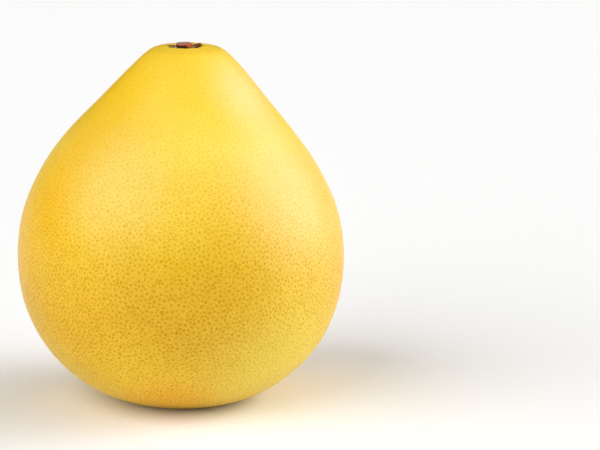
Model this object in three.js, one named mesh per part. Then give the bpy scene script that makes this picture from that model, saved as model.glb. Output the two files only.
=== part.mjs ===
// A whole pomelo: a pear-shaped fruit that stands on a small flat spot at its base, with the dried calyx and
// the woody stub of its stalk in a shallow basin at the top.
// Millimetres, +Z up. The origin lies on the resting surface, under the middle of the fruit.
import * as THREE from "three";

// ---- Driving dimensions ---------------------------------------------------------------------------------

const FRUIT_WIDTH = 150; // across the belly
const CROWN_HEIGHT = 164; // from the resting spot to the lip round the stem basin

const BASIN_LIP_RADIUS = 7.8; // the highest ring of the crown, where the basin starts
const BASIN_FLOOR_RADIUS = 6.2;
const BASIN_DEPTH = 1.8;

const STUB_RADIUS = 3.9;
const STUB_ABOVE_LIP = 1.2; // how far the cut end of the stalk stands above the crown
const STUB_OFFSET = -0.5; // along X from the middle of the basin
const STUB_FLATS = 3; // shallow flats round the stub, which isn't quite round
const STUB_FLAT_DEPTH = 0.16;
const STUB_FIRST_FLAT = 1; // bearing, radians

// Half of the stub's section, as shares of its radius and height, from the seat up to the dip in the cut end.
const STUB_SECTION = [
  { radius: 0, height: 0 },
  { radius: 0.96, height: 0 },
  { radius: 1, height: 0.35 },
  { radius: 0.98, height: 0.8 },
  { radius: 0.84, height: 1 },
  { radius: 0.4, height: 0.95 },
  { radius: 0, height: 0.9 },
];

const CALYX_LOBES = 5;
const CALYX_TIP_RADIUS = 7.1; // at the tip of a lobe
const CALYX_NOTCH_RADIUS = 5.4; // between two lobes
const CALYX_THICKNESS = 0.7;
const CALYX_THINNING = 0.4; // share of its thickness that the calyx loses towards its edge
const CALYX_CURL = 1.35; // how far a dried tip has lifted off the basin's floor
const CALYX_FIRST_LOBE = THREE.MathUtils.degToRad(30); // bearing of one lobe from +X, seen from above
const CALYX_POINTEDNESS = 1.5; // 1 for lobes as wide as the notches between them, more for narrower ones

const SEAT_GAP = 0.3; // air left between two neighbouring pieces

// The side of the fruit, from the edge of the resting spot to the last station below the crown's lip.
// height is a share of CROWN_HEIGHT. radius and lean are shares of half the width, and lean is how far
// the middle of the fruit lies towards +X at that height.
const SIDE = [
  { height: 0, radius: 0.228, lean: 0.012 },
  { height: 0.009, radius: 0.402, lean: 0.011 },
  { height: 0.06, radius: 0.628, lean: 0.003 },
  { height: 0.154, radius: 0.835, lean: 0.004 },
  { height: 0.272, radius: 0.961, lean: 0.001 },
  { height: 0.401, radius: 1, lean: 0 },
  { height: 0.529, radius: 0.964, lean: -0.004 },
  { height: 0.648, radius: 0.852, lean: -0.008 },
  { height: 0.749, radius: 0.702, lean: -0.006 },
  { height: 0.852, radius: 0.506, lean: 0.015 },
  { height: 0.935, radius: 0.347, lean: 0.033 },
  { height: 0.986, radius: 0.231, lean: 0.037 },
  { height: 0.997, radius: 0.156, lean: 0.031 },
];

// Low swellings of the rind round its axis: how many, how high, and the bearing in radians where one starts.
// They are highest half-way up and fade towards the base and the crown.
const SWELLINGS = [
  { count: 2, size: 0.9, start: 0 },
  { count: 3, size: 0.7, start: 0 },
  { count: 5, size: 0.3, start: 0.4 },
];

// Facets of the solids
const FRUIT_SECTORS = 72;
const RINGS_PER_STATION = 3;
const CALYX_SECTORS = 60;
const CALYX_STEPS = 4;
const STUB_SECTORS = 36;

// ---- Worked out from them -------------------------------------------------------------------------------

const HALF_WIDTH = FRUIT_WIDTH / 2;
const CROWN_LEAN = SIDE.at(-1).lean * HALF_WIDTH;
const BASIN_FLOOR = CROWN_HEIGHT - BASIN_DEPTH;
const SEAT = BASIN_FLOOR + SEAT_GAP; // underside of the calyx and of the stub

// ---- Helpers --------------------------------------------------------------------------------------------

// Turns a profile of (radius, height) points about +Z. Each vertex goes through shape(point, index on profile).
function turned(profile, sectors, shape) {
  const geometry = new THREE.LatheGeometry(profile, sectors);
  geometry.rotateX(Math.PI / 2);
  const positions = geometry.getAttribute("position");
  const point = new THREE.Vector3();
  for (let i = 0; i < positions.count; i++) {
    point.fromBufferAttribute(positions, i);
    shape(point, i % profile.length);
    positions.setXYZ(i, point.x, point.y, point.z);
  }
  geometry.computeVertexNormals();
  return geometry;
}

// Bearing of a point from +X, seen from above.
function bearing(point) {
  return Math.atan2(point.y, point.x);
}

// Moves a point outwards or inwards to the given distance from the axis.
function setRadius(point, radius) {
  const angle = bearing(point);
  point.x = radius * Math.cos(angle);
  point.y = radius * Math.sin(angle);
}

function named(name, geometry, look) {
  const mesh = new THREE.Mesh(geometry, new THREE.MeshStandardMaterial(look));
  mesh.name = name;
  return mesh;
}

// ---- Fruit ----------------------------------------------------------------------------------------------

// Half of the fruit's cross-section, from the axis at the base, up the side, over the lip and into the basin.
function fruitStations() {
  const side = SIDE.map(
    ({ height, radius }) => new THREE.Vector2(radius * HALF_WIDTH, height * CROWN_HEIGHT),
  );
  return [
    new THREE.Vector2(0, 0),
    ...side,
    new THREE.Vector2(BASIN_LIP_RADIUS, CROWN_HEIGHT),
    new THREE.Vector2(BASIN_FLOOR_RADIUS, BASIN_FLOOR),
    new THREE.Vector2(0, BASIN_FLOOR),
  ];
}

function fruitLeans() {
  const leans = SIDE.map(({ lean }) => lean * HALF_WIDTH);
  return [leans[0], ...leans, CROWN_LEAN, CROWN_LEAN, CROWN_LEAN];
}

function swelling(angle, height) {
  const fade = Math.sin((Math.PI * height) / CROWN_HEIGHT) ** 2;
  const waves = SWELLINGS.map(({ count, size, start }) => size * Math.sin(count * (angle - start)));
  return fade * waves.reduce((sum, wave) => sum + wave, 0);
}

function makeFruit() {
  const stations = fruitStations();
  const rings = (stations.length - 1) * RINGS_PER_STATION;
  const outline = new THREE.SplineCurve(stations).getPoints(rings);
  const leanLine = new THREE.SplineCurve(fruitLeans().map((lean, i) => new THREE.Vector2(lean, i)));
  const leans = leanLine.getPoints(rings);

  // The spline dips a little below the resting spot and the basin's floor: both are flat on the fruit.
  for (const point of outline) point.y = Math.max(0, point.y);

  return turned(outline, FRUIT_SECTORS, (point, ring) => {
    const radius = outline[ring].x;
    if (radius > 0) setRadius(point, radius + swelling(bearing(point), point.z));
    point.x += leans[ring].x;
  });
}

// ---- Calyx ----------------------------------------------------------------------------------------------

// 0 in the notch between two lobes, 1 along the middle of a lobe.
function lobe(angle) {
  return (0.5 + 0.5 * Math.cos(CALYX_LOBES * (angle - CALYX_FIRST_LOBE))) ** CALYX_POINTEDNESS;
}

// A thin lobed collar: its inner edge goes round the stub, and its lobes keep to the middle of the basin.
// Its section runs outwards along the underside and back along the top.
function makeCalyx() {
  const innerRadius = STUB_RADIUS + 2 * SEAT_GAP;
  const section = [];
  for (let i = 0; i <= CALYX_STEPS; i++) section.push({ reach: i / CALYX_STEPS, top: false });
  for (let i = CALYX_STEPS; i >= 0; i--) section.push({ reach: i / CALYX_STEPS, top: true });
  section.push(section[0]);

  const profile = section.map(
    ({ reach, top }) => new THREE.Vector2(innerRadius + reach, top ? CALYX_THICKNESS : 0),
  );
  return turned(profile, CALYX_SECTORS, (point, index) => {
    const { reach, top } = section[index];
    const long = lobe(bearing(point));
    const outerRadius = THREE.MathUtils.lerp(CALYX_NOTCH_RADIUS, CALYX_TIP_RADIUS, long);
    const thickness = CALYX_THICKNESS * (1 - CALYX_THINNING * reach);
    setRadius(point, THREE.MathUtils.lerp(innerRadius, outerRadius, reach));
    point.x += STUB_OFFSET * (1 - reach);
    point.z = CALYX_CURL * long * reach ** 2 + (top ? thickness : 0);
  });
}

// ---- Stem stub ------------------------------------------------------------------------------------------

// A short woody peg, a little out of round, with a bevelled rim and a cut end that dips in the middle.
function makeStub() {
  const stubHeight = CROWN_HEIGHT + STUB_ABOVE_LIP - SEAT;
  const profile = STUB_SECTION.map(
    ({ radius, height }) => new THREE.Vector2(radius * STUB_RADIUS, height * stubHeight),
  );
  return turned(profile, STUB_SECTORS, (point) => {
    const flat = (1 + Math.cos(STUB_FLATS * (bearing(point) - STUB_FIRST_FLAT))) / 2;
    const share = Math.hypot(point.x, point.y) / STUB_RADIUS;
    setRadius(point, share * (STUB_RADIUS - STUB_FLAT_DEPTH * flat));
    point.x += STUB_OFFSET;
  });
}

// ---- Pomelo ---------------------------------------------------------------------------------------------

const pomelo = new THREE.Group();
pomelo.name = "pomelo";

const fruit = named("fruit", makeFruit(), { color: 0xf2c744, roughness: 0.5, metalness: 0 });
pomelo.add(fruit);

const button = new THREE.Group();
button.name = "stem_button";
button.position.set(CROWN_LEAN, 0, SEAT);
button.add(named("calyx", makeCalyx(), { color: 0x4a2f1b, roughness: 0.9, metalness: 0 }));
button.add(named("stem_stub", makeStub(), { color: 0xb4553a, roughness: 0.8, metalness: 0 }));
pomelo.add(button);

// Brings the middle of the fruit's widest outline over the origin.
const box = new THREE.Box3().setFromObject(pomelo);
const middle = box.getCenter(new THREE.Vector3());
pomelo.position.set(-middle.x, -middle.y, 0);

export default pomelo;
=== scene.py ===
# %% [markdown]
# # A whole pomelo, from its rind to its stalk
#
# A pomelo is the largest of the citrus fruits. This one is pear-shaped: a broad, flattened base that it
# stands on, a neck, and a shallow basin at the top where the stalk was cut. The rind is waxy and full of
# oil glands, thousands of small sunken dots, and the dried calyx and the stub of the stalk are still in
# the basin.
#
# A CAD model gives every size and place. It is loaded as a fixed frame, and each piece made here stands
# for one of its solids. The frame is in metres, with +Z up and the resting surface at z = 0.

import math

import bmesh
import bpy
import numpy as np
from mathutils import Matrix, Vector, geometry, noise


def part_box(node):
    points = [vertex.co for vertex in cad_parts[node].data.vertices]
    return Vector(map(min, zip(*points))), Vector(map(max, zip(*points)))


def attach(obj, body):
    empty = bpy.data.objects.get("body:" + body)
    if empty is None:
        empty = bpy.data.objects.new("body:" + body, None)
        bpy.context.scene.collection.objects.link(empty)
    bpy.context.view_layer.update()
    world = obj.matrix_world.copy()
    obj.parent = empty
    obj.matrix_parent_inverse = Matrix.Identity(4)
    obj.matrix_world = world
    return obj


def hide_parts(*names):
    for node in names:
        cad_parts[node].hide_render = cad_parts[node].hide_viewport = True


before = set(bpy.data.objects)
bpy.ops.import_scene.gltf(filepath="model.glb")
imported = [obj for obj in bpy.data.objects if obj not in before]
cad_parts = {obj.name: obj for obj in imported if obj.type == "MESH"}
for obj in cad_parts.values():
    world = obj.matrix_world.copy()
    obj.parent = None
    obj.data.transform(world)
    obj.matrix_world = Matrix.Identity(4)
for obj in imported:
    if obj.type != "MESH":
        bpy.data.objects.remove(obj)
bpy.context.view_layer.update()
MM = 0.001

print("nodes:", sorted(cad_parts))

# %% [markdown]
# ## The camera
#
# A fruit on a table is seen from a little above, so the camera looks down by about twelve degrees. A long
# lens from a step back keeps the fruit's sides from bulging and lets the basin at the top show. The fruit
# stands left of the middle of the frame, so the camera aims at a point to its right. Both the aim and the
# distance are shares of the fruit's own size.

# %% Place the camera
fruit_low, fruit_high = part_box("fruit")
HALF_WIDTH = (fruit_high.x - fruit_low.x) / 2
CROWN = fruit_high.z

LENS = 200
SENSOR = 36
ELEVATION = math.radians(12.5)
DISTANCE = 20.4 * HALF_WIDTH
AIM = Vector((0.729 * HALF_WIDTH, 0, 0.492 * CROWN))

camera = bpy.data.objects.new("camera", bpy.data.cameras.new("camera"))
camera.data.lens = LENS
camera.data.sensor_width = SENSOR
back = Vector((0, -math.cos(ELEVATION), math.sin(ELEVATION)))
camera.location = AIM + DISTANCE * back
camera.rotation_euler = back.to_track_quat("Z", "Y").to_euler()
bpy.context.scene.collection.objects.link(camera)
bpy.context.scene.camera = camera

print("camera", round(DISTANCE, 3), "m away, looking down", math.degrees(ELEVATION), "degrees")

# %% [markdown]
# ## Building materials in few lines
#
# Materials here are node trees written in code. A few helpers keep them readable: `add` makes a node, sets
# its options and fills or links its inputs, and `mix` blends two colours. The others make the kinds of node
# that the pieces need most.

# %% Helpers for node trees
def add(tree, kind, inputs=(), **options):
    """A new shader node. inputs maps a socket's name or index to a value or to another node's output."""
    made = tree.nodes.new("ShaderNode" + kind)
    for name, value in options.items():
        setattr(made, name, value)
    for socket, value in dict(inputs).items():
        if isinstance(value, bpy.types.NodeSocket):
            tree.links.new(value, made.inputs[socket])
        else:
            made.inputs[socket].default_value = value
    return made


def mix(tree, factor, first, second, blend="MIX"):
    """The colour output of a node that blends two colours, given as (r, g, b, 1) or as outputs."""
    made = add(tree, "Mix", {0: factor, 6: first, 7: second}, data_type="RGBA", blend_type=blend)
    return made.outputs[2]


def ramp(tree, factor, stops):
    """The colour output of a colour ramp. stops is a list of (position, (r, g, b))."""
    made = add(tree, "ValToRGB", {0: factor})
    points = made.color_ramp.elements
    while len(points) < len(stops):
        points.new(1)
    for point, (position, colour) in zip(points, stops):
        point.position = position
        point.color = (*colour, 1)
    return made.outputs["Color"]


def remap(tree, value, low, high, to_low=0.0, to_high=1.0):
    """A value eased from one range into another, and held at its ends."""
    inputs = {"Value": value, "From Min": low, "From Max": high, "To Min": to_low, "To Max": to_high}
    return add(tree, "MapRange", inputs, interpolation_type="SMOOTHSTEP").outputs["Result"]


def noise_at(tree, place, size, detail=2.0, roughness=0.5):
    """Smooth noise, from 0 to 1, whose lumps are about size metres apart."""
    inputs = {"Vector": place, "Scale": 1 / size, "Detail": detail, "Roughness": roughness}
    return add(tree, "TexNoise", inputs).outputs["Fac"]


def calculate(tree, operation, first, second=0.0):
    """One sum, product or other operation on two numbers or outputs."""
    return add(tree, "Math", {0: first, 1: second}, operation=operation).outputs[0]


def distance(tree, place, middle):
    """How far each spot of the object is from middle, in metres."""
    return add(tree, "VectorMath", {0: place, 1: middle}, operation="DISTANCE").outputs["Value"]


def new_material(name):
    """A material with a Principled shader: itself, its tree, the shader, and the place on the object."""
    material = bpy.data.materials.new(name)
    material.use_nodes = True
    tree = material.node_tree
    place = add(tree, "TexCoord").outputs["Object"]
    return material, tree, tree.nodes["Principled BSDF"], place


print("helpers ready")

# %% [markdown]
# ## Floor and light
#
# A studio table top: plain and pale, between two very large soft sources. The one on the right stands low
# and gives the waxy rind its broad pale sheen. The one at the front left is higher and weaker, and fills
# the shade, and a faint one overhead lifts the crown. A sun lamp with a wide angle is such a source at
# any distance, so the floor is lit evenly to its edge.

# %% Make the floor and the light
FLOOR_SIZE = 16
KEY = {"bearing": 8, "height": 16, "spread": 60, "strength": 3.75}
FILL = {"bearing": 218, "height": 33, "spread": 66, "strength": 2.8}
TOP = {"bearing": 330, "height": 62, "spread": 70, "strength": 0.75}


def soft_sun(name, bearing, height, spread, strength):
    """A wide sun lamp. bearing is measured from +X towards +Y, and height above the floor, in degrees."""
    lamp = bpy.data.lights.new(name, "SUN")
    lamp.energy = strength
    lamp.angle = math.radians(spread)
    made = bpy.data.objects.new(name, lamp)
    flat = math.cos(math.radians(height))
    turn = math.radians(bearing)
    towards = Vector((flat * math.cos(turn), flat * math.sin(turn), math.sin(math.radians(height))))
    made.rotation_euler = towards.to_track_quat("Z", "Y").to_euler()
    made.location = towards
    bpy.context.scene.collection.objects.link(made)


soft_sun("key", **KEY)
soft_sun("fill", **FILL)
soft_sun("top", **TOP)

room = bpy.data.worlds.new("room")
bpy.context.scene.world = room
room.use_nodes = True
ROOM_LIGHT = 0.04
sky = room.node_tree.nodes["Background"]
seen = add(room.node_tree, "Background", {"Color": (1, 1, 1, 1), "Strength": 1.0})
sky.inputs["Color"].default_value = (1, 1, 1, 1)
sky.inputs["Strength"].default_value = ROOM_LIGHT
chooser = add(
    room.node_tree,
    "MixShader",
    {0: add(room.node_tree, "LightPath").outputs["Is Camera Ray"], 1: sky.outputs[0], 2: seen.outputs[0]},
)
room.node_tree.links.new(chooser.outputs[0], room.node_tree.nodes["World Output"].inputs["Surface"])

floor_mesh = bpy.data.meshes.new("floor")
edge = FLOOR_SIZE / 2
corners = [(-edge, -edge, 0), (edge, -edge, 0), (edge, edge, 0), (-edge, edge, 0)]
floor_mesh.from_pydata(corners, [], [(0, 1, 2, 3)])
floor = bpy.data.objects.new("floor", floor_mesh)
bpy.context.scene.collection.objects.link(floor)

paper, tree, shader, place = new_material("pale_paper")
grain = noise_at(tree, place, 3 * MM)
tree.links.new(mix(tree, grain, (0.9, 0.9, 0.895, 1), (0.92, 0.92, 0.915, 1)), shader.inputs["Base Color"])
shader.inputs["Roughness"].default_value = 0.9
floor_mesh.materials.append(paper)

bpy.context.scene.view_settings.view_transform = "Standard"
print("floor", FLOOR_SIZE, "m square, with", len(bpy.data.lights), "lamps")

# %% [markdown]
# ## The outline of the fruit
#
# Seen from the side, a fruit is one smooth line. It is drawn here through a dozen stations with a
# Catmull-Rom spline, which passes through each of them, and then turned about the upright axis. Two
# things keep the result from looking turned on a lathe: the middle of the fruit drifts sideways as it
# rises, and low swellings run up its sides. The stations are the frame's own, as shares of its height and
# half its width.

# %% Draw the outline
SIDE = [  # height, radius and lean towards +X
    (0, 0.228, 0.012),
    (0.009, 0.402, 0.011),
    (0.06, 0.628, 0.003),
    (0.154, 0.835, 0.004),
    (0.272, 0.961, 0.001),
    (0.401, 1, 0),
    (0.529, 0.964, -0.004),
    (0.648, 0.852, -0.008),
    (0.749, 0.702, -0.006),
    (0.852, 0.506, 0.015),
    (0.935, 0.347, 0.033),
    (0.986, 0.231, 0.037),
    (0.997, 0.156, 0.031),
]
LIP_RADIUS = 0.104 * HALF_WIDTH
BASIN_RADIUS = 0.0827 * HALF_WIDTH
BASIN_DEPTH = 1.8 * MM
BASIN_FLOOR = CROWN - BASIN_DEPTH
SWELLINGS = [(2, 0.9 * MM, 0), (3, 0.7 * MM, 0), (5, 0.3 * MM, 0.4)]  # how many, how high, where one starts

base_lean = SIDE[0][2] * HALF_WIDTH
crown_lean = SIDE[-1][2] * HALF_WIDTH
STATIONS = np.array(
    [(0, 0, base_lean)]
    + [(radius * HALF_WIDTH, height * CROWN, lean * HALF_WIDTH) for height, radius, lean in SIDE]
    + [(LIP_RADIUS, CROWN, crown_lean), (BASIN_RADIUS, BASIN_FLOOR, crown_lean)]
    + [(0, BASIN_FLOOR, crown_lean)]
)


def outline(station):
    """Radius, height and lean at a place along the outline, counted in stations from the base's middle."""
    last = len(STATIONS) - 1
    k = np.clip(np.floor(station).astype(int), 0, last - 1)
    t = (station - k)[:, None]
    a, b, c, d = (STATIONS[np.clip(k + step, 0, last)] for step in (-1, 0, 1, 2))
    found = b + t / 2 * (c - a + t * (2 * a - 5 * b + 4 * c - d + t * (3 * (b - c) + d - a)))
    return found[:, 0], np.maximum(found[:, 1], 0), found[:, 2]


def on_fruit(station, bearing):
    """Points on the fruit, one for each place along the outline and bearing from +X."""
    radius, height, lean = outline(station)
    waves = sum(size * np.sin(count * (bearing - start)) for count, size, start in SWELLINGS)
    radius = radius + waves * np.sin(np.pi * height / CROWN) ** 2
    return np.stack([radius * np.cos(bearing) + lean, radius * np.sin(bearing), height], axis=1)


STEPS = 200
fine_station = np.linspace(0, len(STATIONS) - 1, STEPS * (len(STATIONS) - 1) + 1)
fine_radius, fine_height, _ = outline(fine_station)
fine_length = np.r_[0, np.cumsum(np.hypot(np.diff(fine_radius), np.diff(fine_height)))]
print("the outline runs", round(fine_length[-1] / MM), "mm from the base to the middle of the basin")

# %% [markdown]
# The frame stands the fruit so that the middle of its widest outline is over the origin. The same shift
# is found here by measuring the shape on a coarse grid. The skin is then drawn in by a hair, so that it
# never comes out of the frame's own size.

# %% Fit the shape into the frame
SKIN_INSET = np.array((0.06 * MM, 0.06 * MM, 0))
grid_station, grid_bearing = np.meshgrid(fine_station[::10], np.linspace(0, 2 * np.pi, 361))
grid = on_fruit(grid_station.ravel(), grid_bearing.ravel())
own_low, own_high = grid.min(0), grid.max(0)
frame_low, frame_high = np.array(fruit_low), np.array(fruit_high)
fit_scale = (frame_high - frame_low - 2 * SKIN_INSET) / (own_high - own_low)


def fitted(points):
    """Points on the fruit, moved to where the frame holds it."""
    return frame_low + SKIN_INSET + (points - own_low) * fit_scale


print("moved by", (fitted(own_low) - own_low) / MM, "mm and scaled by", fit_scale.round(5))

# %% [markdown]
# ## Scattering the oil glands
#
# The large glands of this rind lie about two and a half millimetres apart, and never in rows. A sunflower
# spiral gives every gland the same room from the start, whatever the slope of the skin, and a seeded shake
# breaks its rows. The skin needs finer points round the small basin than glands would give, so the spiral
# is drawn closer there, and those extra points carry no gland.

# %% Scatter points over the skin
GLAND_SPACING = 2.45 * MM
FINE_SPACING = 0.75 * MM
FINE_FROM, FINE_TO = 0.22 * HALF_WIDTH, 0.13 * HALF_WIDTH  # radii between which the spacing narrows
GOLDEN_ANGLE = math.pi * (3 - math.sqrt(5))
SHAKE = 0.33

draw = np.random.default_rng(11)


def eased(value, low, high):
    """0 below low, 1 above high, and a smooth step between them."""
    share = np.clip((value - low) / (high - low), 0, 1)
    return share * share * (3 - 2 * share)


def spacing(radius, height):
    """The wanted distance between points of the skin."""
    fine = eased(-radius, -FINE_FROM, -FINE_TO) * (height > 0.5 * CROWN)
    return GLAND_SPACING + (FINE_SPACING - GLAND_SPACING) * fine


HEXAGON = 2 / math.sqrt(3)  # points per square of their spacing, when packed as closely as they can be
density = HEXAGON / spacing(fine_radius, fine_height) ** 2
step = np.diff(fine_length)
ring = 2 * np.pi * fine_radius * density
count_so_far = np.r_[0, np.cumsum((ring[1:] + ring[:-1]) / 2 * step)]
COUNT = int(count_so_far[-1])

order = np.arange(COUNT) + 0.5
station = np.interp(order / COUNT * count_so_far[-1], count_so_far, fine_station)
bearing = (order * GOLDEN_ANGLE) % (2 * np.pi)
print(COUNT, "points")

# %% [markdown]
# Shaken points come too close to each other in places. Each is now moved towards the middle of its
# neighbours, twice over, as cells push each other apart while they grow. More rounds would make a
# honeycomb. The neighbours come from a Delaunay triangulation. Blender makes one in the plane, so the
# skin is first projected from the top of a sphere onto the plane below it, which keeps circles as circles
# and so keeps the triangulation right.

# %% Let the points settle
INSIDE = np.array((0, 0, 0.45 * CROWN))
TINY = 1e-9  # keeps divisions from meeting zero, and is how close two points may come
STATION_STEP = 0.01  # over which the slope of the outline is measured
NEAR_AXIS = 1 * MM  # points closer to the axis than this turn no faster
SETTLINGS = 2
PULL = 0.8  # share of the way to the middle of its neighbours that a point moves


def triangulate(points):
    """Triangles over closed skin: rows of three indices, the last point being the middle of the basin."""
    away = points[:-1] - INSIDE
    away /= np.linalg.norm(away, axis=1)[:, None]
    plane = away[:, :2] / (1 - away[:, 2:])
    made = geometry.delaunay_2d_cdt([Vector(p) for p in plane.tolist()], [], [], 0, TINY)
    triangles = np.array([face for face in made[2] if len(face) == 3])
    original = np.array([ids[0] for ids in made[3]])
    closed = np.vstack([original[triangles], cap(original[triangles], len(points) - 1)])
    return closed[:, ::-1]  # seen from below, triangles that go round leftwards face into the fruit


def cap(triangles, middle):
    """Triangles that close the hole left round the middle of the basin."""
    sides = np.vstack([triangles[:, [0, 1]], triangles[:, [1, 2]], triangles[:, [2, 0]]])
    key = sides[:, 0] * (middle + 1) + sides[:, 1]
    twin = sides[:, 1] * (middle + 1) + sides[:, 0]
    rim = sides[~np.isin(twin, key)]
    return np.column_stack([rim[:, 1], rim[:, 0], np.full(len(rim), middle)])


def neighbour_mean(points, triangles):
    """The middle of each point's neighbours."""
    total = np.zeros_like(points)
    number = np.zeros(len(points))
    for first, second in ((0, 1), (1, 2), (2, 0), (1, 0), (2, 1), (0, 2)):
        np.add.at(total, triangles[:, first], points[triangles[:, second]])
        np.add.at(number, triangles[:, first], 1)
    return total / number[:, None]


def slide(station, bearing, move):
    """Moves points along the skin by the part of each move that lies in it."""
    ahead = np.clip(station + STATION_STEP, 0, len(STATIONS) - 1)
    behind = np.clip(station - STATION_STEP, 0, len(STATIONS) - 1)
    (r0, z0, _), (r1, z1, _), (radius, _, _) = outline(behind), outline(ahead), outline(station)
    along = np.hypot(r1 - r0, z1 - z0)
    outwards = move[:, 0] * np.cos(bearing) + move[:, 1] * np.sin(bearing)
    sideways = move[:, 1] * np.cos(bearing) - move[:, 0] * np.sin(bearing)
    up = (outwards * (r1 - r0) + move[:, 2] * (z1 - z0)) / np.maximum(along, TINY)
    turned = sideways / np.maximum(radius, NEAR_AXIS)
    moved = station + up * (ahead - behind) / np.maximum(along, TINY)
    return np.clip(moved, STATION_STEP, len(STATIONS) - 1 - STATION_STEP), bearing + turned


radius, height, _ = outline(station)
room_for_shake = spacing(radius, height)[:, None] * SHAKE
station, bearing = slide(station, bearing, draw.normal(size=(COUNT, 3)) * room_for_shake)

basin_middle = np.array([[crown_lean, 0, BASIN_FLOOR]])
for _ in range(SETTLINGS):
    points = np.vstack([on_fruit(station, bearing), basin_middle])
    triangles = triangulate(points)
    move = neighbour_mean(points, triangles) - points
    station, bearing = slide(station, bearing, PULL * move[:-1])

points = np.vstack([on_fruit(station, bearing), basin_middle])
triangles = triangulate(points)
a, b, c = (points[triangles[:, k]] for k in range(3))
litres = np.einsum("ij,ij->i", a, np.cross(b, c)).sum() / 6 * 1000
side_lengths = np.linalg.norm(a - b, axis=1)
print("typical distance to a neighbour:", round(float(np.median(side_lengths)) / MM, 2), "mm")
print("the skin faces outwards and holds", round(litres, 2), "litres")

# %% [markdown]
# ## From points to skin
#
# Each gland becomes a shallow six-sided dimple: its own point, pushed in, is the bottom, and the middles
# of the triangles round it are the rim that it shares with its neighbours. Glands differ. Their size is
# drawn at random, and they are deep and dark on the belly and nearly vanish towards the neck, where the
# rind is stretched smooth. They are fainter too on one bulging shoulder and low down on the same side.

# %% Give each gland its size and depth
GLAND_SIZE = (0.65 * MM, 0.95 * MM)
GLAND_DEPTH = (0.04 * MM, 0.16 * MM)
SMOOTH_ABOVE, PITTED_BELOW = 0.92, 0.3  # shares of the crown's height
SMOOTH_SHARE = 0.28  # what is left of the pitting on the smooth neck
LEAST_DARK, MORE_DARK = 0.38, 0.3  # darkness of the palest gland, and what the darkest has besides
GLAND_ROOM = 0.85  # share of GLAND_SPACING that a point needs round it to be a gland
SMOOTH_PLACES = [  # middle, in half widths and crown heights; reach, in half widths; share of pits lost
    ((0.7, -0.42, 0.69), 0.6, 0.5),
    ((0.5, -0.7, 0.12), 0.65, 0.4),
]

radius, height, _ = outline(station)
is_gland = spacing(radius, height) > GLAND_ROOM * GLAND_SPACING
size_share = np.append(draw.beta(1.6, 1.8, COUNT), 0)
pitted = 1 - (1 - SMOOTH_SHARE) * eased(height / CROWN, PITTED_BELOW, SMOOTH_ABOVE)
for (x, y, z), reach, lost in SMOOTH_PLACES:
    middle = np.array((x * HALF_WIDTH, y * HALF_WIDTH, z * CROWN))
    off = np.linalg.norm(points[:-1] - middle, axis=1)
    pitted *= 1 - lost * eased(-off, -reach * HALF_WIDTH, 0)
pitted = np.append(pitted * is_gland, 0)
gland_size = GLAND_SIZE[0] + (GLAND_SIZE[1] - GLAND_SIZE[0]) * size_share
gland_depth = (GLAND_DEPTH[0] + (GLAND_DEPTH[1] - GLAND_DEPTH[0]) * size_share) * pitted
gland_darkness = np.append(LEAST_DARK + MORE_DARK * draw.beta(1.5, 1.8, COUNT), 0) * pitted
print(int(is_gland.sum()), "glands,", round(float(gland_depth.max()) / MM, 2), "mm deep at most")

# %% [markdown]
# Between the large glands lie smaller and younger ones, wherever there is room for one. The middles of
# the Delaunay triangles are the spots furthest from any large gland, so each may carry a small one, and
# the wider the gap is the darker it gets. They are only coloured: dimples this small wouldn't show.

# %% Fill the gaps with small glands
SMALL_GLAND_SIZE = 0.7 * MM
ROOM_NEEDED = (1.1 * MM, 1.5 * MM)  # to the nearest large gland, for no small one and for a full one
SMALL_DARKNESS = (0.2, 0.58)
SEEN_FROM = 0.1  # darkness from which a small gland is counted
gap_middles = points[triangles].mean(1)
gap = np.linalg.norm(points[triangles] - gap_middles[:, None], axis=2).min(1)
room_share = eased(gap, *ROOM_NEEDED)
small_darkness = room_share * draw.uniform(*SMALL_DARKNESS, len(triangles)) * pitted[triangles].mean(1)
print(int((small_darkness > SEEN_FROM).sum()), "small glands")

# %% [markdown]
# Two places are shaped besides: the rind puckers where it draws in towards the basin, and the scar of the
# flower's style is a small dent in the middle of the base. Both are laid over the smooth skin as a depth,
# along the skin's own normal.

# %% Shape the basin's puckers and the scar of the style
PUCKER_DEPTH = 0.32 * MM
PUCKER_COUNTS = (7, 11)
PUCKER_AT, PUCKER_REACH = 1.25 * LIP_RADIUS, 0.45 * LIP_RADIUS  # from the stalk
SCAR_RADIUS = 2.6 * MM
SCAR_DEPTH = 0.6 * MM


def outward(points, triangles):
    """The skin's normal at each point, out of the fruit."""
    a, b, c = (points[triangles[:, k]] for k in range(3))
    face = np.cross(b - a, c - a)
    total = np.zeros_like(points)
    for k in range(3):
        np.add.at(total, triangles[:, k], face)
    return total / np.linalg.norm(total, axis=1)[:, None]


def dent(points):
    """How far the skin lies below its smooth outline: in the puckers, and in the scar of the style."""
    from_stalk = np.hypot(points[:, 0] - crown_lean, points[:, 1])
    turn = np.arctan2(points[:, 1], points[:, 0] - crown_lean)
    near_lip = np.exp(-(((from_stalk - PUCKER_AT) / PUCKER_REACH) ** 2))
    near_lip = near_lip * (points[:, 2] > CROWN / 2)
    folds = sum(0.5 + 0.5 * np.sin(count * turn + count) for count in PUCKER_COUNTS) / len(PUCKER_COUNTS)
    from_scar = np.hypot(points[:, 0] - base_lean, points[:, 1])
    scar = np.exp(-((from_scar / SCAR_RADIUS) ** 2)) * (points[:, 2] < CROWN / 2)
    return PUCKER_DEPTH * folds**2 * near_lip + SCAR_DEPTH * scar


normal = outward(points, triangles)
rim_normal = normal[triangles].mean(1)
rim = points[triangles].mean(1)
bottom = points - normal * (gland_depth + dent(points))[:, None]
rim = rim - rim_normal * dent(rim)[:, None]
print("the deepest dent is", round(float(dent(points).max()) / MM, 2), "mm")

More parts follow.
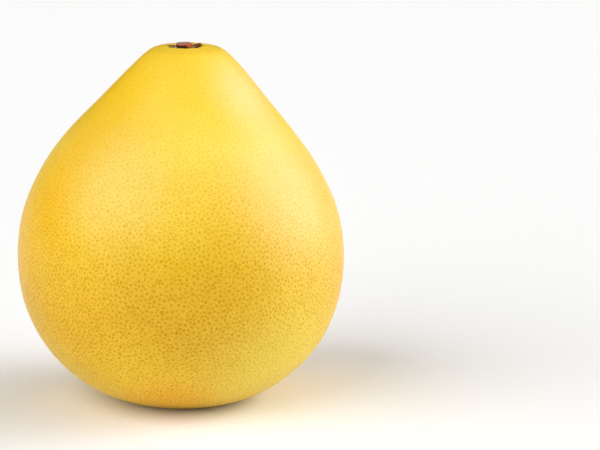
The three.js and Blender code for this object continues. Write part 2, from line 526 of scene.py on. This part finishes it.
# %% [markdown]
# A fan of triangles goes round each gland. Every side that two Delaunay triangles share gives two of
# them: one for the gland at each end. Sorting the sides by their two ends finds the partner of each
# without a search.

# %% Join the dimples into one mesh
sides = np.vstack([triangles[:, [0, 1]], triangles[:, [1, 2]], triangles[:, [2, 0]]])
left = np.tile(np.arange(len(triangles)), 3)
key = sides[:, 0] * (COUNT + 1) + sides[:, 1]
twin = sides[:, 1] * (COUNT + 1) + sides[:, 0]
by_key = np.argsort(key)
right = left[by_key[np.searchsorted(key[by_key], twin)]]
faces = np.column_stack([sides[:, 0], len(points) + right, len(points) + left])
skin_points = np.vstack([fitted(bottom), fitted(rim)])

skin_mesh = bpy.data.meshes.new("rind")
skin_mesh.from_pydata(skin_points.tolist(), [], faces.tolist())
skin_mesh.shade_smooth()
skin = bpy.data.objects.new("rind", skin_mesh)
bpy.context.scene.collection.objects.link(skin)
print(len(skin_mesh.polygons), "triangles; valid:", not skin_mesh.validate())

# %% [markdown]
# The material has to know where in its gland each spot of the skin is. The mesh tells it: every triangle
# of a fan carries the middle of its gland and how large and how dark that gland is, and the same for the
# two small glands at its other corners. Values kept on faces don't blend across them, so the distance
# that the shader works out is exact, and the dots are round however coarse the mesh.

# %% Write the glands onto the mesh
fan_of = faces[:, 0]
centres = fitted(points)[fan_of]
looks = np.column_stack([gland_size, gland_darkness, pitted])[fan_of]
small_middles = fitted(rim)
small_looks = np.column_stack([small_darkness[left], small_darkness[right], np.zeros(len(faces))])
face_values = {
    "gland_middle": centres,
    "gland_look": looks,
    "small_gland_left": small_middles[left],
    "small_gland_right": small_middles[right],
    "small_gland_look": small_looks,
}
for name, values in face_values.items():
    layer = skin_mesh.attributes.new(name, "FLOAT_VECTOR", "FACE")
    layer.data.foreach_set("vector", values.astype(np.float32).ravel())
print("values per face:", ", ".join(face_values))

# %% [markdown]
# The finish can be baked onto a texture, which needs the skin unrolled into a square. A fruit unrolls
# well as the six sides of a box: each spot goes to the side that it faces, and angles, rather than
# lengths, are laid out evenly there, so that the corners aren't pinched.

# %% Unroll the skin
COLUMNS, ROWS = 3, 2
SHEET_MARGIN = 1.05

towards = fitted(rim[right]) - INSIDE
axis = np.abs(towards).argmax(1)
sign = np.sign(np.take_along_axis(towards, axis[:, None], 1)[:, 0])
sheet = 2 * axis + (sign > 0)
corner = skin_points[faces] - INSIDE
main = np.take_along_axis(corner, np.repeat(axis[:, None, None], 3, 1), 2)[:, :, 0] * sign[:, None]
spread = []
for other in (1, 2):
    across = np.take_along_axis(corner, np.repeat(((axis + other) % 3)[:, None, None], 3, 1), 2)[:, :, 0]
    spread.append(np.arctan2(across, main) / (math.pi / 4) / SHEET_MARGIN / 2 + 0.5)
u = (spread[0] + (sheet % COLUMNS)[:, None]) / COLUMNS
v = (spread[1] + (sheet // COLUMNS)[:, None]) / ROWS
unrolled = skin_mesh.uv_layers.new(name="OFBake")
unrolled.data.foreach_set("uv", np.stack([u, v], axis=2).astype(np.float32).ravel())
print("u from", u.min().round(3), "to", u.max().round(3))
print("v from", v.min().round(3), "to", v.max().round(3))

# %% [markdown]
# ## The rind
#
# Rind is a waxy skin over a pale, spongy layer. Light goes a little way in and comes out yellower, which
# the subsurface part of the shader gives. Its colour is built up from broad to fine. First comes a drift
# of tones from the base to the crown, which carries painted shade about a third of the way up and a
# paler, bluer painted sheen up the neck. Soft-edged patches of painted light lie over that: painted shade
# as orange down the left side and its edge, up the left of the neck and under the belly, and as a deep
# spot on the belly; painted sheen as paler skin on the right and on the front of the shoulder; and a
# painted reflection low on the right. All of them lie on the front. The back has only the drift of tones.

# %% Lay the rind's broad colours
rind, tree, shader, place = new_material("rind")
up = add(tree, "SeparateXYZ", {0: place}).outputs["Z"]
share_up = calculate(tree, "DIVIDE", up, CROWN)
drift = noise_at(tree, place, 60 * MM)
level = calculate(tree, "ADD", share_up, remap(tree, drift, 0.3, 0.7, -0.06, 0.06))

# Partly painted light: the ramp darkens and deepens about a third of the way up as painted shade, and turns
# paler and bluer up the neck as painted sheen.
SKIN_TONES_AND_PAINTED_LIGHT = [
    (0.0, (0.88, 0.60, 0.032)),
    (0.12, (0.82, 0.555, 0.043)),
    (0.3, (0.73, 0.438, 0.026)),
    (0.5, (0.80, 0.515, 0.03)),
    (0.62, (0.85, 0.588, 0.07)),
    (0.75, (0.88, 0.66, 0.1)),
    (0.87, (0.88, 0.608, 0.052)),
    (1.0, (0.88, 0.59, 0.044)),
]
tone = ramp(tree, level, SKIN_TONES_AND_PAINTED_LIGHT)

# All these patches are painted light: the orange and deep ones are painted shade, the pale ones painted
# sheen, and the one low on the right a painted reflection.
PATCHES = {  # middle, in half widths and in crown heights; reach, in half widths; strength; tone
    "left shoulder, painted shade": ((-0.62, -0.45, 0.77), 0.62, 0.55, (0.83, 0.44, 0.02, 1)),
    "right shoulder, painted sheen": ((0.72, -0.42, 0.62), 0.75, 0.85, (0.86, 0.61, 0.21, 1)),
    "right of the neck, painted sheen": ((0.43, -0.21, 0.89), 0.41, 0.8, (0.88, 0.64, 0.25, 1)),
    "left of the neck, painted shade": ((-0.44, -0.1, 0.93), 0.5, 0.8, (0.87, 0.535, 0.012, 1)),
    "left side, painted shade": ((-0.7, -0.5, 0.62), 0.45, 0.6, (0.84, 0.47, 0.02, 1)),
    "low on the right, painted reflection": ((0.62, -0.56, 0.16), 0.8, 0.8, (0.82, 0.66, 0.13, 1)),
    "front of the shoulder, painted sheen": ((-0.36, -0.72, 0.67), 0.5, 0.65, (0.86, 0.62, 0.15, 1)),
    "left edge, painted shade": ((-0.98, -0.1, 0.5), 0.65, 0.4, (0.80, 0.44, 0.01, 1)),
    "front of the belly, painted shade": ((0.3, -0.93, 0.42), 0.5, 0.5, (0.72, 0.41, 0.018, 1)),
    "under the belly, painted shade": ((-0.05, -0.66, 0.05), 0.4, 0.75, (0.85, 0.45, 0.01, 1)),
}
PATCH_CORE = 0.1  # share of its reach within which a patch is at full strength
for (x, y, z), reach, strength, patch_tone in PATCHES.values():
    middle = Vector((x * HALF_WIDTH, y * HALF_WIDTH, z * CROWN))
    off = distance(tree, place, middle)
    share = remap(tree, off, reach * HALF_WIDTH, PATCH_CORE * reach * HALF_WIDTH, 0.0, strength)
    tone = mix(tree, share, tone, patch_tone)
print(len(SKIN_TONES_AND_PAINTED_LIGHT), "tones from the base to the crown, and", len(PATCHES), "patches over them")

# %% [markdown]
# Then the texture. Slow mottling is a few millimetres wide. Between the glands the rind is pebbled: low,
# pale cushions about a millimetre and a half apart with furrows between them, which a smooth Voronoi
# pattern gives; the furrows are darkened as painted shade. Yellow skin takes blue light out first, so its
# darker parts are also deeper in colour.

# %% Mottle and pebble the rind
CUSHION_SPACING = 1.6 * MM
SWIRL_SIZE, SWIRL_PUSH = 1.5 * MM, 0.7 * MM  # the noise that bends the cushions, and how far it may push
SWIRL_SHIFT = 0.35 * MM  # the swirl is read this far aside, out of step with the other noises
mottle = noise_at(tree, place, 9 * MM, detail=2)
tone = mix(tree, remap(tree, mottle, 0.35, 0.75, 0.0, 0.05), tone, (0.72, 0.40, 0.01, 1))

coarseness = remap(tree, level, SMOOTH_ABOVE, PITTED_BELOW, SMOOTH_SHARE, 1)
fine = noise_at(tree, place, 1.1 * MM, detail=2, roughness=0.6)
shifted = add(tree, "VectorMath", {0: place, 1: (SWIRL_SHIFT,) * 3}, operation="ADD").outputs["Vector"]
swirl = add(tree, "TexNoise", {"Vector": shifted, "Scale": 1 / SWIRL_SIZE, "Detail": 1.0}).outputs["Color"]
pushed = add(tree, "VectorMath", {0: swirl, 1: (SWIRL_PUSH,) * 3}, operation="MULTIPLY").outputs["Vector"]
warped = add(tree, "VectorMath", {0: place, 1: pushed}, operation="ADD").outputs["Vector"]
cell_inputs = {"Vector": warped, "Scale": 1 / CUSHION_SPACING, "Smoothness": 0.4}
cells = add(tree, "TexVoronoi", cell_inputs, feature="SMOOTH_F1")
pebble = remap(tree, cells.outputs["Distance"], 0.15, 0.75, 1, 0)
# Painted shade: the furrows between the cushions are darkened.
furrow_shade = calculate(tree, "MULTIPLY", calculate(tree, "SUBTRACT", 1, pebble), coarseness)
tone = mix(tree, calculate(tree, "MULTIPLY", furrow_shade, 0.15), tone, (0.80, 0.70, 0.0, 1), blend="MULTIPLY")
grain = calculate(tree, "MULTIPLY", remap(tree, fine, 0.35, 0.65), coarseness)
tone = mix(tree, calculate(tree, "MULTIPLY", grain, 0.42), tone, (0.84, 0.74, 0.0, 1), blend="MULTIPLY")
print("cushions", CUSHION_SPACING / MM, "mm apart")

# %% [markdown]
# The glands themselves are dots of oil seen through the skin. Their edge is soft and a little ragged, and
# some are darker than others. They tint what lies under them instead of covering it, as a drop of oil
# does, and they take out the blue twice as fast as the rest. The skin halfway between two glands stands
# highest, and is painted paler there as a highlight.

# %% Dot the rind with its glands
OIL_TINT = (0.64, 0.44, 0.0, 1)
DOT_EDGE, DOT_CORE = 1.25, 0.2  # where a dot ends and where it is darkest, in sizes of its gland
DEEPER = (1, 1, 0, 1)


def kept_on_faces(name):
    """Vectors that the mesh carries, one for each face."""
    return add(tree, "Attribute", attribute_name=name).outputs["Vector"]


def oiled(share, tone):
    """A tone seen through a share of a drop of oil."""
    tinted = mix(tree, share, tone, OIL_TINT, blend="MULTIPLY")
    return mix(tree, share, tinted, DEEPER, blend="MULTIPLY")


gland_look = add(tree, "SeparateXYZ", {0: kept_on_faces("gland_look")})
gland_reach, gland_dark, gland_pitted = gland_look.outputs
wobble = noise_at(tree, place, 0.9 * MM, detail=2)
unevenness = remap(tree, wobble, 0.25, 0.75, -0.27 * MM, 0.27 * MM)
ragged = calculate(tree, "ADD", distance(tree, place, kept_on_faces("gland_middle")), unevenness)
# Painted highlight: the raised skin halfway between glands is made paler and bluer.
halfway_highlight = remap(tree, ragged, 0.3 * GLAND_SPACING, 0.6 * GLAND_SPACING, 0, 0.1)
tone = mix(tree, calculate(tree, "MULTIPLY", halfway_highlight, gland_pitted), tone, (0.92, 0.72, 0.13, 1))
share_out = calculate(tree, "DIVIDE", ragged, gland_reach)
dot = calculate(tree, "MULTIPLY", remap(tree, share_out, DOT_EDGE, DOT_CORE), gland_dark)
tone = oiled(dot, tone)
print("dots up to", 2 * GLAND_SIZE[1] / MM, "mm wide")

# %% [markdown]
# The small glands are dotted in the same way. Each triangle of the skin knows the two at its other corners,
# so the shader adds one and then the other.

# %% Dot it with the small glands
small_look = add(tree, "SeparateXYZ", {0: kept_on_faces("small_gland_look")})
for side, name in enumerate(("small_gland_left", "small_gland_right")):
    nearness = remap(tree, distance(tree, place, kept_on_faces(name)), SMALL_GLAND_SIZE, 0.1 * MM)
    tone = oiled(calculate(tree, "MULTIPLY", nearness, small_look.outputs[side]), tone)
print("small dots up to", 2 * SMALL_GLAND_SIZE / MM, "mm wide, faint at their edge")

# %% [markdown]
# The scar that the flower's style left in the middle of the base is brown and corky. The skin inside the
# basin is painted nearly black, as shade in the hollow, and a ring of tan cork lies between that and the
# sound rind.

# %% Brown the scars and paint shade in the basin
SCAR_TONE = (0.16, 0.075, 0.025, 1)
SCAR_AT = Vector(fitted(np.array((base_lean, 0, 0))))
from_scar = distance(tree, place, SCAR_AT)
frayed = calculate(tree, "ADD", from_scar, remap(tree, wobble, 0.2, 0.8, -0.7 * MM, 0.7 * MM))
scar = remap(tree, frayed, 1.25 * SCAR_RADIUS, 0.75 * SCAR_RADIUS, 0, 0.95)
tone = mix(tree, scar, tone, SCAR_TONE)

CORK_TONE = (0.50, 0.32, 0.085, 1)
BASIN_SHADE_TONE = (0.06, 0.024, 0.008, 1)
BASIN_AT = Vector(fitted(np.array((crown_lean, 0, BASIN_FLOOR - 1 * MM))))
from_basin = distance(tree, place, BASIN_AT)
torn = calculate(tree, "ADD", from_basin, remap(tree, fine, 0.25, 0.75, -0.5 * MM, 0.5 * MM))
cork = remap(tree, torn, 1.3 * LIP_RADIUS, LIP_RADIUS, 0, 0.6)
tone = mix(tree, cork, tone, CORK_TONE)
# Painted shade: inside the lip the basin is darkened nearly to black.
basin_shade = remap(tree, torn, LIP_RADIUS, BASIN_RADIUS, 0, 0.92)
tone = mix(tree, basin_shade, tone, BASIN_SHADE_TONE)
tree.links.new(tone, shader.inputs["Base Color"])
print("the basin is stained inside", round(LIP_RADIUS / MM, 1), "mm from its middle")

# %% [markdown]
# Last the shine. Wax gives a soft one, broken by everything that isn't level: cushions stand a few
# hundredths of a millimetre proud, and glands lie below them. The coat's values are the same all over, so
# they are set straight on the shader.

# %% Wax the rind
CUSHION_HEIGHT, DOT_DEPTH, GRAIN_HEIGHT = 0.06 * MM, 0.09 * MM, 0.03 * MM

waxed = remap(tree, mottle, 0.3, 0.7, 0.35, 0.39)
dulled = calculate(tree, "ADD", waxed, calculate(tree, "MULTIPLY", dot, 0.1))
tree.links.new(dulled, shader.inputs["Roughness"])
cushion = calculate(tree, "MULTIPLY", calculate(tree, "MULTIPLY", pebble, coarseness), CUSHION_HEIGHT)
sunk = calculate(tree, "MULTIPLY", calculate(tree, "MULTIPLY", dot, gland_pitted), -DOT_DEPTH)
relief = calculate(tree, "ADD", cushion, sunk)
relief = calculate(tree, "ADD", relief, calculate(tree, "MULTIPLY", fine, GRAIN_HEIGHT))
bump = add(tree, "Bump", {"Strength": 1.0, "Distance": 1.0, "Height": relief})
tree.links.new(bump.outputs["Normal"], shader.inputs["Normal"])

shader.inputs["Subsurface Weight"].default_value = 0.12
shader.inputs["Subsurface Radius"].default_value = (1.0, 0.55, 0.12)
shader.inputs["Subsurface Scale"].default_value = 2.5 * MM
shader.inputs["Specular IOR Level"].default_value = 0.14
shader.inputs["Coat Weight"].default_value = 0.06
shader.inputs["Coat Roughness"].default_value = 0.3
skin_mesh.materials.append(rind)
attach(skin, "root")
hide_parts("fruit")
print("rind dressed with", len(tree.nodes), "nodes")

# %% [markdown]
# ## The stub of the stalk
#
# Where the fruit was cut from the tree, a peg of the stalk is left: reddish-brown bark round wood that
# has dried, shrunk and cracked. Both this peg and the calyx round it are built as grids that go round an
# axis, so one helper makes their meshes: it takes a block of points, rings by places round, and joins
# them with quads.

# %% Helper for pieces that go round an axis
def ringed(name, rings, closed=False):
    """A mesh from an array of points, rings by places round. A closed one joins its last ring to its first.
    Otherwise the first and last ring are each one point, many times over, and are merged."""
    number, around = rings.shape[:2]
    index = np.arange(number * around).reshape(number, around)
    if closed:
        index = np.vstack([index, index[:1]])
    following = np.roll(index, -1, axis=1)
    quads = np.stack([index[:-1], following[:-1], following[1:], index[1:]], axis=2).reshape(-1, 4)
    mesh = bpy.data.meshes.new(name)
    mesh.from_pydata(rings.reshape(-1, 3).tolist(), [], quads.tolist())
    tidy = bmesh.new()
    tidy.from_mesh(mesh)
    bmesh.ops.remove_doubles(tidy, verts=tidy.verts, dist=1e-7)
    bmesh.ops.recalc_face_normals(tidy, faces=tidy.faces)
    tidy.to_mesh(mesh)
    tidy.free()
    mesh.shade_smooth()
    made = bpy.data.objects.new(name, mesh)
    bpy.context.scene.collection.objects.link(made)
    return made


def rough(points, size, height, seed):
    """Smooth noise at each point, between -height and height."""
    shift = Vector((seed, seed, seed))
    values = [noise.noise(Vector(point) / size + shift) for point in points.reshape(-1, 3).tolist()]
    return height * np.array(values).reshape(points.shape[:-1])


print("helper ready")

# %% [markdown]
# The peg's section goes from its foot, up the bark, over the worn rim and in across the cut. Bark is
# ridged lengthwise, so its ridges depend on the bearing alone. The cut end dips to the pith, with cracks
# that run out from it like spokes.

# %% Make the stub
stub_low, stub_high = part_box("stem_stub")
STUB_MIDDLE = np.array(((stub_low.x + stub_high.x) / 2, (stub_low.y + stub_high.y) / 2))
STUB_RADIUS = min(stub_high.x - stub_low.x, stub_high.y - stub_low.y) / 2
STUB_FOOT, STUB_TOP = stub_low.z, stub_high.z
PLACES_ROUND = 128
CRACKS = [(0.5, 0.9), (1.9, 0.6), (2.8, 0.8), (4.2, 1.0), (5.3, 0.7)]  # bearing and share of the full depth
CRACK_DEPTH = 0.35 * MM

stub_section = np.array(
    [(0, 0), (0.5, 0), (0.9, 0), (0.95, 0.06), (0.965, 0.2), (0.98, 0.4), (0.985, 0.6), (0.985, 0.78)]
    + [(0.98, 0.88), (0.965, 0.94), (0.93, 0.975), (0.86, 0.98), (0.75, 0.965), (0.6, 0.945), (0.46, 0.93)]
    + [(0.36, 0.925), (0.26, 0.915), (0.17, 0.88), (0.1, 0.83), (0.04, 0.8), (0, 0.8)]
)
turn = np.linspace(0, 2 * np.pi, PLACES_ROUND, endpoint=False)
share, rise = stub_section[:, 0][:, None], stub_section[:, 1][:, None]
circle = np.stack([np.cos(turn), np.sin(turn), 0 * turn], axis=1)
ridges = rough(circle, 0.16, 1, 3.0) * 0.6 + rough(circle, 0.05, 1, 8.0) * 0.4
on_bark = eased(share, 0.6, 0.95)
stub_radius = STUB_RADIUS * share * (1 + 0.05 * ridges[None] * on_bark)
stub_height = STUB_FOOT + (STUB_TOP - STUB_FOOT) * (rise + 0 * turn)
for at, deep in CRACKS:
    off = np.abs((turn - at + np.pi) % (2 * np.pi) - np.pi)
    line = np.exp(-((off[None] * (share + 0.1) / 0.07) ** 2)) * eased(rise, 0.7, 0.85)
    stub_height = stub_height - CRACK_DEPTH * deep * line * eased(share, 0.02, 0.2)
stub_x = STUB_MIDDLE[0] + stub_radius * np.cos(turn)
stub_y = STUB_MIDDLE[1] + stub_radius * np.sin(turn)
stub_rings = np.stack([stub_x, stub_y, stub_height], axis=2)
lumps = rough(stub_rings, 0.7 * MM, 0.07 * MM, 5.0)
stub_rings[:, :, 2] += lumps * eased(rise, 0.5, 0.9) * (share > 0) - 0.03 * MM * (rise > 0.5)
stub = ringed("stem_stub_cut", stub_rings)
print("stub", [round(side / MM, 2) for side in stub.dimensions], "mm,", len(stub.data.polygons), "faces")

# %% [markdown]
# A material for a turned piece needs to know which way is round and which is out. This helper works it
# out from the place on the object, so that streaks can follow the bark and the spokes of the cut.

# %% Helper for materials on a turned piece
def about(tree, place, middle):
    """Bearing in radians, distance from the upright axis over middle, and height of each spot."""
    foot = (middle[0], middle[1], 0)
    moved = add(tree, "VectorMath", {0: place, 1: foot}, operation="SUBTRACT").outputs["Vector"]
    axes = add(tree, "SeparateXYZ", {0: moved}).outputs
    flat = add(tree, "CombineXYZ", {0: axes["X"], 1: axes["Y"]}).outputs["Vector"]
    away = add(tree, "VectorMath", {0: flat}, operation="LENGTH").outputs["Value"]
    return calculate(tree, "ARCTAN2", axes["Y"], axes["X"]), away, axes["Z"]


def streaks(tree, turn, away, up, round_size, along_size):
    """Noise drawn out along the bark or the spokes: fine across and long along. Sizes are in metres."""
    reach = STUB_RADIUS / round_size
    across = calculate(tree, "MULTIPLY", calculate(tree, "COSINE", turn), reach)
    deep = calculate(tree, "MULTIPLY", calculate(tree, "SINE", turn), reach)
    length = calculate(tree, "DIVIDE", calculate(tree, "ADD", away, up), along_size)
    spot = add(tree, "CombineXYZ", {0: across, 1: deep, 2: length}).outputs["Vector"]
    return add(tree, "TexNoise", {"Vector": spot, "Scale": 1.0, "Detail": 3.0}).outputs["Fac"]


print("helpers ready")

# %% [markdown]
# The bark is painted orange-red on the side that faces the key light and pinker on the other, as painted
# light and shade on one bark. It is painted nearly black towards the foot, as shade in the basin, and a
# painted shadow climbs its front, where the basin's front lip shades it. The cut wood has dried reddish
# too. It has weathered grey at the back, and has rings and a pith that is painted pale as a highlight.

# %% Finish the stub
stem_wood, tree, shader, place = new_material("stem_wood")
turn_out, away, up = about(tree, place, STUB_MIDDLE)
fibre = streaks(tree, turn_out, away, up, 0.5 * MM, 4 * MM)
blotch = noise_at(tree, place, 1.6 * MM, detail=3)
bristle = streaks(tree, turn_out, away, up, 0.18 * MM, 3 * MM)
# Painted light and shade: the side towards the key light, at +X, is orange-red, the other side pinker.
side = calculate(tree, "ADD", calculate(tree, "COSINE", turn_out), remap(tree, blotch, 0.3, 0.7, -0.4, 0.4))
orange = mix(tree, remap(tree, fibre, 0.35, 0.65), (0.36, 0.055, 0.010, 1), (0.68, 0.17, 0.03, 1))
pink = mix(tree, remap(tree, fibre, 0.35, 0.65), (0.32, 0.075, 0.05, 1), (0.62, 0.20, 0.14, 1))
bark = mix(tree, remap(tree, side, -0.7, 0.6), pink, orange)
bark = mix(tree, remap(tree, blotch, 0.5, 0.75, 0, 0.5), bark, (0.48, 0.24, 0.15, 1))
bark = mix(tree, remap(tree, bristle, 0.5, 0.7, 0, 0.6), bark, (0.13, 0.03, 0.015, 1))

rings_of_growth = calculate(tree, "SINE", calculate(tree, "DIVIDE", away, 0.11 * MM))
cut = mix(tree, 0.45, bark, (0.50, 0.26, 0.13, 1))
cut = mix(tree, remap(tree, rings_of_growth, -1, 1, 0, 0.25), cut, (0.16, 0.06, 0.03, 1))
WEATHERED_AT = Vector((STUB_MIDDLE[0] - 2.2 * MM, STUB_MIDDLE[1] + 1.8 * MM, STUB_TOP))
weathered = distance(tree, place, WEATHERED_AT)
worn = calculate(tree, "ADD", weathered, remap(tree, bristle, 0.3, 0.7, -1 * MM, 1 * MM))
cut = mix(tree, remap(tree, worn, 4.2 * MM, 1.6 * MM, 0, 0.9), cut, (0.27, 0.18, 0.13, 1))
cut = mix(tree, remap(tree, fibre, 0.52, 0.68, 0, 0.75), cut, (0.10, 0.04, 0.022, 1))
# Painted highlight: the pith in the middle of the cut is painted pale.
pith_highlight = calculate(tree, "ADD", away, remap(tree, bristle, 0.3, 0.7, -0.35 * MM, 0.35 * MM))
cut = mix(tree, remap(tree, pith_highlight, 1.1 * MM, 0.5 * MM, 0, 0.8), cut, (0.76, 0.46, 0.32, 1))
stub_tall = STUB_TOP - STUB_FOOT
on_cut = remap(tree, up, STUB_FOOT + 0.86 * stub_tall, STUB_FOOT + 0.93 * stub_tall)
on_cut = calculate(tree, "MULTIPLY", on_cut, remap(tree, away, 0.97 * STUB_RADIUS, 0.86 * STUB_RADIUS))
inside_cut = remap(tree, away, 0.8 * STUB_RADIUS, 0.7 * STUB_RADIUS)
wood = mix(tree, calculate(tree, "MAXIMUM", on_cut, inside_cut), bark, cut)

# Painted shadow: the bark is darkened nearly to black at its foot all round, as shade in the basin, and
# higher towards the front left, where the front lip shades it.
SHADOW_AT = math.radians(238)
SHADOW_FOOT, SHADOW_TOP = 0.3, 0.72  # shares of the stub that it climbs, away from SHADOW_AT and there
facing_shadow = calculate(tree, "COSINE", calculate(tree, "SUBTRACT", turn_out, SHADOW_AT))
climb = remap(tree, facing_shadow, 0.1, 0.9)
shadow_edge = remap(tree, climb, 0, 1, SHADOW_FOOT, SHADOW_TOP)
risen = calculate(tree, "DIVIDE", calculate(tree, "SUBTRACT", up, STUB_FOOT), stub_tall)
above = calculate(tree, "SUBTRACT", risen, shadow_edge)
above = calculate(tree, "ADD", above, remap(tree, blotch, 0.3, 0.7, -0.08, 0.08))
wood = mix(tree, remap(tree, above, 0.1, -0.12, 0, 0.95), wood, (0.03, 0.006, 0.003, 1))
tree.links.new(wood, shader.inputs["Base Color"])
tree.links.new(remap(tree, blotch, 0.3, 0.7, 0.55, 0.8), shader.inputs["Roughness"])
shader.inputs["Specular IOR Level"].default_value = 0.15
coarse_relief = calculate(tree, "MULTIPLY", calculate(tree, "ADD", fibre, blotch), 0.14 * MM)
relief = calculate(tree, "ADD", coarse_relief, calculate(tree, "MULTIPLY", bristle, -0.1 * MM))
bump = add(tree, "Bump", {"Strength": 1.0, "Distance": 1.0, "Height": relief})
tree.links.new(bump.outputs["Normal"], shader.inputs["Normal"])
stub.data.materials.append(stem_wood)
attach(stub, "root")
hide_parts("stem_stub")
print("stub dressed with", len(tree.nodes), "nodes")

# %% [markdown]
# ## The dried calyx
#
# The calyx held the flower. Its five lobes have dried to a thin brown star under the stalk, and no two
# are alike: each has its own length, width and curl, and the edges are torn. One sheet is drawn from the
# foot of the stub outwards and given a top, an edge and an underside, so that it has the thickness of
# real dried skin.

# %% Make the calyx
calyx_low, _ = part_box("calyx")
BASIN_MIDDLE = fitted(np.array((crown_lean, 0, 0)))[:2]
LOBES = [  # bearing and half its width in degrees, with its reach between; height of its tip; pale share
    (22, 7.6 * MM, 33, 1.65 * MM, 0.25),
    (99, 6.9 * MM, 34, 0.9 * MM, 0.4),
    (177, 7.45 * MM, 32, 1.2 * MM, 0.7),
    # The two front lobes get no pale middle: they are painted dark as shade under the front lip.
    (243, 5.9 * MM, 30, 0.5 * MM, -0.4),
    (309, 7.0 * MM, 36, 1.0 * MM, -0.4),
]
NOTCH_RADIUS = 5.2 * MM
COLLAR_RADIUS = 3.75 * MM
CALYX_FOOT = calyx_low.z
SHEET_THICKNESS = (0.5 * MM, 0.22 * MM)  # at the foot and at the edge
MARGIN_CURL = 0.3 * MM  # how far the torn edge turns up
NOTCH_HEIGHT = 0.35 * MM
COLLAR_HEIGHT, KEEL_HEIGHT = 0.5 * MM, 0.12 * MM
CALYX_ROUND = 300
CALYX_OUT = 18

turn = np.linspace(0, 2 * np.pi, CALYX_ROUND, endpoint=False)
reach = np.full(CALYX_ROUND, NOTCH_RADIUS)
tip_height = np.full(CALYX_ROUND, NOTCH_HEIGHT)
pale = np.zeros(CALYX_ROUND)
keel = np.zeros(CALYX_ROUND)
for at, tip, half, high, pale_share in LOBES:
    off = ((np.degrees(turn) - at + 180) % 360 - 180) / half
    form = np.cos(np.clip(off, -1, 1) * np.pi / 2) ** 1.2
    reach += (tip - NOTCH_RADIUS) * form
    tip_height += (high - NOTCH_HEIGHT) * form
    pale += pale_share * form
    keel += np.exp(-((off / 0.16) ** 2)) - 0.6 * np.exp(-(((np.abs(off) - 0.45) / 0.15) ** 2))
circle = np.stack([np.cos(turn), np.sin(turn), 0 * turn], axis=1)
reach += rough(circle, 0.1, 0.22 * MM, 21.0) + rough(circle, 0.03, 0.14 * MM, 27.0)

out = np.linspace(0, 1, CALYX_OUT)[:, None]
collar = np.exp(-((out / 0.14) ** 2))
middle_x = STUB_MIDDLE[0] + (BASIN_MIDDLE[0] - STUB_MIDDLE[0]) * out
middle_y = STUB_MIDDLE[1] + (BASIN_MIDDLE[1] - STUB_MIDDLE[1]) * out
radius = COLLAR_RADIUS + (reach - COLLAR_RADIUS) * out
sheet_top = CALYX_FOOT + SHEET_THICKNESS[0] + (tip_height - 0.3 * MM) * out**1.8
sheet_top = sheet_top + COLLAR_HEIGHT * collar + KEEL_HEIGHT * keel * out
top = np.stack([middle_x + radius * np.cos(turn), middle_y + radius * np.sin(turn), sheet_top], axis=2)
top[:, :, 2] += rough(top, 1.4 * MM, 0.16 * MM, 31.0) * out + rough(top, 0.5 * MM, 0.05 * MM, 37.0)
top[:, :, 2] += MARGIN_CURL * eased(out, 0.7, 1)
thickness = SHEET_THICKNESS[0] + (SHEET_THICKNESS[1] - SHEET_THICKNESS[0]) * out
under = top.copy()
under[:, :, 2] = np.maximum(top[:, :, 2] - thickness, CALYX_FOOT)
calyx = ringed("calyx_dried", np.concatenate([top, under[::-1]]), closed=True)
# Painted shade: besides the margins, the half of the calyx that faces the front is made dark brown, as
# shade under the basin's front lip.
margin_and_shade = np.maximum(eased(out, pale, pale + 0.3), eased(-np.sin(turn), 0.3, 0.7))
shade = np.concatenate([margin_and_shade, np.ones_like(margin_and_shade)])
margin_and_shade_layer = calyx.data.attributes.new("margin_and_shade", "FLOAT", "POINT")
margin_and_shade_layer.data.foreach_set("value", shade.astype(np.float32).ravel())
print("calyx", [round(side / MM, 2) for side in calyx.dimensions], "mm,", len(calyx.data.polygons), "faces")

# %% [markdown]
# Dried plant skin is pale, like straw, where it is thin and lies flat, in the middle of each lobe. It is
# dark brown along the torn margins that have turned up, on the underside, and in the veins that run out
# to each tip. The half that faces the front, with its two lobes, is painted dark brown as shade under the
# basin's front lip.

# %% Finish the calyx
dried, tree, shader, place = new_material("calyx")
turn_out, away, up = about(tree, place, BASIN_MIDDLE)
vein = streaks(tree, turn_out, away, up, 0.45 * MM, 5 * MM)
blotch = noise_at(tree, place, 1.8 * MM, detail=4, roughness=0.6)
straw = mix(tree, remap(tree, vein, 0.35, 0.65), (0.34, 0.19, 0.08, 1), (0.70, 0.50, 0.28, 1))
brown = mix(tree, remap(tree, vein, 0.35, 0.65), (0.07, 0.026, 0.008, 1), (0.24, 0.10, 0.025, 1))
at_margin_and_shade = add(tree, "Attribute", attribute_name="margin_and_shade").outputs["Fac"]
darkened = calculate(tree, "ADD", at_margin_and_shade, remap(tree, blotch, 0.35, 0.65, -0.35, 0.35))
brown = mix(tree, remap(tree, darkened, 0.25, 0.6), straw, brown)
tree.links.new(brown, shader.inputs["Base Color"])
tree.links.new(remap(tree, blotch, 0.3, 0.7, 0.7, 0.9), shader.inputs["Roughness"])
shader.inputs["Specular IOR Level"].default_value = 0.15
veined = calculate(tree, "MULTIPLY", vein, 0.15 * MM)
relief = calculate(tree, "ADD", veined, calculate(tree, "MULTIPLY", blotch, 0.12 * MM))
bump = add(tree, "Bump", {"Strength": 1.0, "Distance": 1.0, "Height": relief})
tree.links.new(bump.outputs["Normal"], shader.inputs["Normal"])
calyx.data.materials.append(dried)
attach(calyx, "root")
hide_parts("calyx")
print("calyx dressed with", len(tree.nodes), "nodes")
